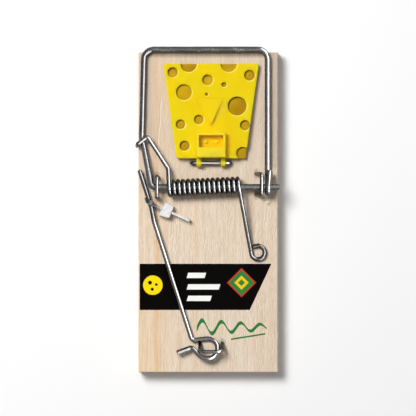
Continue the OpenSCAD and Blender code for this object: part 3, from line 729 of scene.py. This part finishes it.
def hammer_line():
    # The crossbar lies a little nearer than the solid's, so no floor shows past the board's end
    crossbar_y = CROSSBAR_Y - 0.2
    skew, bend = math.atan(HOOK_DRIFT / (HOOK_R + HOOK_TAIL)), HOOK_R - BEND_OVERLAP
    hook_z = AXLE_Z + HOOK_R * math.tan(math.pi / 4 + HOOK_SLOPE / 2)
    hook_top = Vector((HAMMER_RIGHT, AXLE_Y - HOOK_R, hook_z))
    way = Vector((math.sin(skew) * math.cos(HOOK_SLOPE), math.cos(skew) * math.cos(HOOK_SLOPE),
                  -math.sin(HOOK_SLOPE)))
    return rounded([
        (HAMMER_RIGHT + AXLE_TAIL, AXLE_Y, AXLE_Z), (AXLE_LEFT, AXLE_Y, AXLE_Z),
        (HAMMER_LEFT, KINK_Y, LEG_Z), (HAMMER_LEFT + LEG_LEAN, crossbar_y, LEG_Z),
        (HAMMER_RIGHT, crossbar_y, LEG_Z), (HAMMER_RIGHT, AXLE_Y - HOOK_R, LEG_Z),
        hook_top, hook_top + way * (HOOK_R + HOOK_TAIL),
    ], [0, AXLE_BEND_R, KINK_BEND_R, HAMMER_CORNER_R, HAMMER_CORNER_R, bend, bend, 0])


def spring_hook():
    """From the hook's tip, over the hammer's leg, down to where the coil starts."""
    leave = math.pi / 2 - 2 * math.pi * EARLY_STEPS / COIL_STEPS
    leave_y, leave_z = COIL_NEAR_Y + COIL_R * math.cos(leave), AXLE_Z + COIL_R * math.sin(leave)
    arm_y = COIL_NEAR_Y + ARM_START_L
    points = [(HAMMER_LEFT + x, KINK_Y + y, z)
              for (x, y), z in ((HOOK_TIP, LEG_Z), (HOOK_CORNER, OVER_LEG_Z), (HOOK_APEX, OVER_LEG_Z))]
    points.append((COIL_X - SPRING_D / 4, arm_y, leave_z - (arm_y - leave_y) / math.tan(leave)))
    points.append((COIL_X - PITCH * EARLY_STEPS / COIL_STEPS, leave_y, leave_z))
    # The last point is the coil's own first one
    return rounded(points, [0, *HOOK_BENDS, 0], 12)[:-1]


def spring_coil():
    """Turns on the axle, a little askew to it."""
    coil, last = [], TURNS * COIL_STEPS
    for i in range(-EARLY_STEPS, last + 1):
        turn = math.pi / 2 + 2 * math.pi * i / COIL_STEPS
        y = AXLE_Y + ASKEW * (2 * i / last - 1) + COIL_R * math.cos(turn)
        coil.append(Vector((COIL_X + PITCH * i / COIL_STEPS, y, AXLE_Z + COIL_R * math.sin(turn))))
    return coil


def spring_arm():
    """From the coil down to the board, round the eye, and straight on up to the arm."""
    left = COIL_END_X + ARM_SPLAY
    start = Vector((COIL_END_X + ARM_SPLAY * ARM_LEAVE_SHARE, AXLE_Y + ASKEW - ARM_LEAVE_L,
                    AXLE_Z + COIL_R - ARM_LEAVE_DROP))
    eye = Vector((left + SPRING_EYE_R, AXLE_Y - ARM_L, BOARD_T + REST_GAP + SPRING_D / 2))
    curl = []
    for k in range(EYE_STEPS + 1):
        turn = math.pi + (1.5 * math.pi + EYE_OVER) * k / EYE_STEPS
        curl.append(eye + Vector((math.cos(turn), math.sin(turn), 0)) * SPRING_EYE_R)
    last = curl[-1]
    beside = left + (start.x - left) * (last.y - eye.y) / (start.y - eye.y)
    tip_l = (last.x - beside - SPRING_D / 2 - EYE_TIP_GAP) / math.cos(EYE_OVER)
    tip = last - Vector((math.cos(EYE_OVER), math.sin(EYE_OVER), 0)) * tip_l
    return [start] + curl + [tip]


def bar_point(along, aside):
    """Point of the locking bar's straight run, counted from the corner of its eye."""
    p = EYE_CORNER + BAR_DIR * along + BAR_SIDE * aside
    return Vector((p.x, p.y, BAR_Z + BAR_RISE * along))


def bar_line():
    c, r = EYE_CENTRE, EYE_R
    front, bend = c.y + r, r - BEND_OVERLAP

    def eye_point(x, y):
        return Vector((x, y, BAR_Z + max(0, front - y) * math.tan(EYE_TILT)))

    leave = (c.x - r * math.tan(math.radians(22.5)), c.y - r)
    close = (leave[0] - EYE_CLOSE, leave[1] + EYE_CLOSE)
    end = [at + way * BAR_TAIL_L for at, way in zip(close, BAR_TAIL_WAY)]
    return rounded([
        bar_point(BAR_L, BAR_JOG), bar_point(BAR_JOG_TO, BAR_JOG), bar_point(BAR_JOG_FROM, 0),
        bar_point(0, 0), eye_point(c.x + r, c.y + r), eye_point(c.x + r, c.y - r),
        eye_point(*leave), eye_point(*close), eye_point(*end),
    ], [0, BAR_JOG_R, BAR_JOG_R, BAR_BEND_R, bend, bend, bend, BAR_BEND_R, 0])


def tie_point(x, y, z):
    """From the tie's own axes, with X from the bar to the head, to the part's."""
    return bar_point(TIE_AT, BAR_JOG) + Matrix.Rotation(TIE_ANGLE, 3, "Z") @ Vector((x, y, z))


def smoothed(path, parts):
    """Points and the directions they face, with a smooth curve through them in that many parts each."""
    dense = []
    for i in range(len(path) - 1):
        (p0, n0), (p1, n1) = path[i], path[i + 1]
        before, after = path[max(i - 1, 0)][0], path[min(i + 2, len(path) - 1)][0]
        for k in range(parts):
            f = k / parts
            curve = 0.5 * (2 * p0 + (p1 - before) * f + (2 * before - 5 * p0 + 4 * p1 - after) * f ** 2
                           + (3 * p0 - before - 3 * p1 + after) * f ** 3)
            dense.append((curve, (n0 * (1 - f) + n1 * f).normalized()))
    return dense + [path[-1]]


def tie_strap():
    """Strap that is on edge at the head, twists to lie flat over the bar, and hugs it."""
    t, w, clear, chamfer = 0.4, 1.6, 0.05, 0.1
    wrap_from, wrap_turn, wrap_steps, wrap_drift = 35, 285, 24, 2.1
    up = BAR_SIDE.cross((bar_point(1, 0) - bar_point(0, 0)).normalized())
    level = Matrix.Rotation(TIE_ANGLE, 3, "Z") @ Vector((0.45, 0.9, 0)).normalized()
    path = [(tie_point(*p), level) for p in ((4.4, 0.1, 0.3), (3.5, 0.15, 0.35), (2.6, 0.35, 0.45))]
    for k in range(wrap_steps + 1):
        phi = math.radians(wrap_from + wrap_turn * k / wrap_steps)
        out = BAR_SIDE * math.cos(phi) + up * math.sin(phi)
        at = TIE_AT + wrap_drift * math.sin(math.pi * k / wrap_steps)
        path.append((bar_point(at, BAR_JOG) + out * (BAR_D / 2 + clear + t / 2), out))
    path += [(tie_point(*p), -level) for p in ((2.4, -0.2, -0.75), (3.5, -0.3, -0.75), (4.4, -0.3, -0.7))]
    dense = smoothed(path, 3)
    half, flat, thick, corner = w / 2, w / 2 - chamfer, t / 2, t / 2 - chamfer
    section = [(-flat, -thick), (flat, -thick), (half, -corner), (half, corner),
               (flat, thick), (-flat, thick), (-half, corner), (-half, -corner)]
    points = []
    for i, (p, out) in enumerate(dense):
        way = (dense[min(i + 1, len(dense) - 1)][0] - dense[max(i - 1, 0)][0]).normalized()
        out = (out - way * out.dot(way)).normalized()
        points += [p + way.cross(out) * u + out * v for u, v in section]
    return points, tube_faces(len(dense), len(section))


def tie_head(low):
    """Rounded block with a slanting front, and a slot where the strap goes in and out."""
    high, plan = 1.25, [(3.3, -2.15), (7.0, -1.9), (7.1, 2.3), (4.35, 2.6)]
    bm = bmesh.new()
    ring = [[bm.verts.new((x, y, z)) for x, y in plan] for z in (low, high)]
    bm.faces.new(ring[0][::-1])
    bm.faces.new(ring[1])
    for k in range(4):
        bm.faces.new((ring[0][k], ring[0][(k + 1) % 4], ring[1][(k + 1) % 4], ring[1][k]))
    bmesh.ops.bevel(bm, geom=bm.edges[:], offset=0.5, segments=4, profile=0.55, affect="EDGES")
    bm.normal_update()
    for side in (-1, 1):
        flat = max(bm.faces, key=lambda face: face.normal.x * side * face.calc_area())
        bmesh.ops.inset_region(bm, faces=[flat], thickness=0.3)
        inner = bmesh.ops.extrude_face_region(bm, geom=[flat])
        moved = [item for item in inner["geom"] if isinstance(item, bmesh.types.BMVert)]
        bmesh.ops.translate(bm, verts=moved, vec=(-0.4 * side, 0, 0))
        bmesh.ops.delete(bm, geom=[flat], context="FACES_ONLY")
    bm.verts.index_update()
    points = [tie_point(*v.co) for v in bm.verts]
    faces = [tuple(v.index for v in face.verts) for face in bm.faces]
    bm.free()
    return points, faces


def tie_tail(low):
    """Trimmed tail on edge, with fine teeth along one face and a slanting cut."""
    start, tail_l, foot, tall, teeth = 6.7, 6.8, low + 0.5, 2.0, 13
    back, valley, tooth, cut, drift = -0.38, 0.27, 0.4, 0.3, 0.07
    outline = [(start, tooth)]
    for k in range(1, teeth + 1):
        x = start + tail_l * k / teeth
        outline += [(x - 0.08, valley), (x, tooth)]
    outline += [(start + tail_l, back), (start, back)]
    points = []
    for z in (foot, foot + tall):
        end = start + tail_l - cut * (z - foot) / tall
        for x, y in outline:
            x = min(x, end)
            points.append(tie_point(x, y + 0.15 - drift * (x - start), z))
    return points, tube_faces(2, len(outline))


def cable_tie(material):
    """Strap, head and tail of the nylon tie in one mesh."""
    low = -BAR_D / 2 - TIE_GAP - TIE_T
    verts, faces = [], []
    for points, quads in (tie_strap(), tie_head(low), tie_tail(low)):
        faces.extend(tuple(len(verts) + i for i in quad) for quad in quads)
        verts.extend(tuple(p) for p in points)
    made = mesh_object("nylon_tie", verts, faces, material)
    bm = bmesh.new()
    bm.from_mesh(made.data)
    bmesh.ops.recalc_face_normals(bm, faces=bm.faces)
    bm.to_mesh(made.data)
    bm.free()
    sharpen(made, 40)
    return made


# ----------------------------------------------------------------------------------------------------
# Pieces
# ----------------------------------------------------------------------------------------------------
# A darker stretch that goes up to a wire's end is drawn this far past it, beyond the reach of its soft edge
PAST_END = 9
# Longest stretch between two rings of a thin wire
FINE_STEP = 0.8

# Darker on the leg from the kink to the corner, and less so on the crossbar
hammer_steel = steel("bright_drawn_wire", tone=(0.58, 0.58, 0.59), polish=0.17, dirt=0.4,
                     darkened=[(57, 84, 0.7), (84, 120, 0.3)])
hammer = wire("hammer_bright_wire", filled(hammer_line()), HAMMER_D, hammer_steel)
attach(hammer, "hammer")
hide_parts("wire_hammer")

spring_path = filled(spring_hook(), FINE_STEP) + spring_coil() + filled(spring_arm(), FINE_STEP)
spring_l = length(spring_path)
# Darker on the arm, and more so on the eye
eye_from, end = spring_l - 13, spring_l + PAST_END
spring_steel = steel("spring_wire", tone=(0.72, 0.72, 0.735), polish=0.16, dirt=0.5,
                     darkened=[(eye_from - 13, eye_from, 0.25), (eye_from, end, 0.8)], unshaded=(0.7, 0.98))
spring = wire("wound_spring", spring_path, SPRING_D, spring_steel, sides=14)
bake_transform(spring)
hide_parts("torsion_spring")

for name, node, (x, y), (dx, dy), rise, bend in STAPLES:
    # Painted shade on the legs, as far as most of the way up to the crown
    rise = Vector(rise)
    path = staple_line(Vector((x - dx, y - dy, BOARD_T)), Vector((x + dx, y + dy, BOARD_T)), rise, bend)
    path = filled(path, FINE_STEP)
    reach, leg = length(path), STAPLE_DEPTH + 0.7 * rise.length
    if node == "pedal_hinge_staple":
        # The hinge staple gets a paler, rougher copy of the staples' steel with less painted side shade: its
        # paleness is a painted highlight
        material = steel("hinge_wire", tone=(0.9, 0.9, 0.91), polish=0.4, dirt=0.2, unshaded=(0.75, 0.95))
    else:
        material = steel(name + "_wire", tone=(0.52, 0.52, 0.53), polish=0.2, dirt=0.45,
                         darkened=[(0, leg, 0.9), (reach - leg, reach, 0.9)])
    piece = wire(name, path, STAPLE_D, material)
    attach(piece, "root")
    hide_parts(node)

bar_path = filled(bar_line())
bar_l = length(bar_path)
# Darker from the tip to past the tie, and on the tail
bar_steel = steel("darkened_bar_wire", tone=(0.62, 0.62, 0.63), polish=0.17, dirt=0.4,
                  darkened=[(-PAST_END, 17, 0.8), (bar_l - 4.5, bar_l + PAST_END, 0.75)])
bar = wire("locking_bar_wire", bar_path, BAR_D, bar_steel)
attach(bar, "bar")
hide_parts("locking_bar")

tie = cable_tie(nylon())
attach(tie, "bar")
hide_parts("cable_tie")

# The board and the pedal are shown as packed, with softened edges of these widths
for node, material, edge_w in (("base_board", wood(), 0.12), ("bait_pedal", pedal_plastic(), 0.16)):
    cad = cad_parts[node]
    cad.data.materials.clear()
    cad.data.materials.append(material)
    weld = cad.modifiers.new("weld", "WELD")
    weld.merge_threshold = 0.002 * MM
    bevel = cad.modifiers.new("edges", "BEVEL")
    bevel.width, bevel.segments = edge_w * MM, 2
    bevel.limit_method, bevel.angle_limit = "ANGLE", math.radians(35)

# ----------------------------------------------------------------------------------------------------
# Floor, light and camera, in metres
# ----------------------------------------------------------------------------------------------------
FLOOR_SIZE, FLOOR_Z = 6, -0.00002
KEY_PLACE, KEY_SIZE, KEY_POWER = (-0.31, 0.31, 0.72), (0.32, 0.32), 7.2
CARD_X, CARD_AWAY, CARD_TURNS, CARD_SIZE, CARD_POWER = 0.52, 0.82, (-55, 0, 55), (0.58, 0.84), 5.6
# World: strength up to the first height, growing to the strength from the second height on
WORLD_HEIGHTS, WORLD_STRENGTHS = (0.2, 0.95), (0.12, 0.36)
# The photograph: pixels to a side, the board's centre in it, and a pixel's size on the board's top
PHOTO_PX, CENTRE_PX, PIXEL = 416, (208.2, 212.2), 0.318 * MM
LENS, SENSOR = 300.0, 36.0

bpy.ops.mesh.primitive_plane_add(size=FLOOR_SIZE, location=(0, 0, FLOOR_Z))
floor = bpy.context.object
floor.name = "floor"
floor.data.materials.append(pale_floor())


def area(name, place, size, power):
    """Soft light that faces the trap."""
    data = bpy.data.lights.new(name, "AREA")
    data.shape = "RECTANGLE"
    data.size, data.size_y = size
    data.energy = power
    made = bpy.data.objects.new(name, data)
    made.location = place
    made.rotation_mode = "QUATERNION"
    made.rotation_quaternion = (-Vector(place)).to_track_quat("-Z", "Y")
    bpy.context.scene.collection.objects.link(made)
    return made


key = area("key_softbox", KEY_PLACE, KEY_SIZE, KEY_POWER)
key.visible_glossy = False
# Arch of cards that only show as a reflection in the metal and the plastic
for number, turn in enumerate(CARD_TURNS):
    y, z = CARD_AWAY * math.sin(math.radians(turn)), CARD_AWAY * math.cos(math.radians(turn))
    card = area("reflection_card_%d" % number, (CARD_X, y, z), CARD_SIZE, CARD_POWER)
    card.visible_diffuse = False


def studio_world():
    """Dim round the horizon and paler overhead."""
    world = bpy.data.worlds.new("studio")
    world.use_nodes = True
    tree = world.node_tree
    tree.nodes.clear()
    out = tree.nodes.new("ShaderNodeOutputWorld")
    back = tree.nodes.new("ShaderNodeBackground")
    coords = tree.nodes.new("ShaderNodeTexCoord")
    parts = tree.nodes.new("ShaderNodeSeparateXYZ")
    overhead = tree.nodes.new("ShaderNodeMapRange")
    for number, socket in zip((*WORLD_HEIGHTS, *WORLD_STRENGTHS), list(overhead.inputs)[1:5]):
        socket.default_value = number
    tree.links.new(coords.outputs["Generated"], parts.inputs[0])
    tree.links.new(parts.outputs[2], overhead.inputs[0])
    tree.links.new(overhead.outputs[0], back.inputs["Strength"])
    tree.links.new(back.outputs[0], out.inputs[0])
    return world


bpy.context.scene.world = studio_world()

camera_data = bpy.data.cameras.new("camera")
camera_data.lens = LENS
camera_data.sensor_width = SENSOR
camera_data.clip_start, camera_data.clip_end = 0.01, 20
camera = bpy.data.objects.new("camera", camera_data)
camera_x, camera_y = (PHOTO_PX / 2 - CENTRE_PX[0]) * PIXEL, (CENTRE_PX[1] - PHOTO_PX / 2) * PIXEL
camera.location = (camera_x, camera_y, BOARD_T * MM + PHOTO_PX * PIXEL * LENS / SENSOR)
bpy.context.scene.collection.objects.link(camera)
bpy.context.scene.camera = camera
bpy.context.scene.view_settings.view_transform = "Standard"
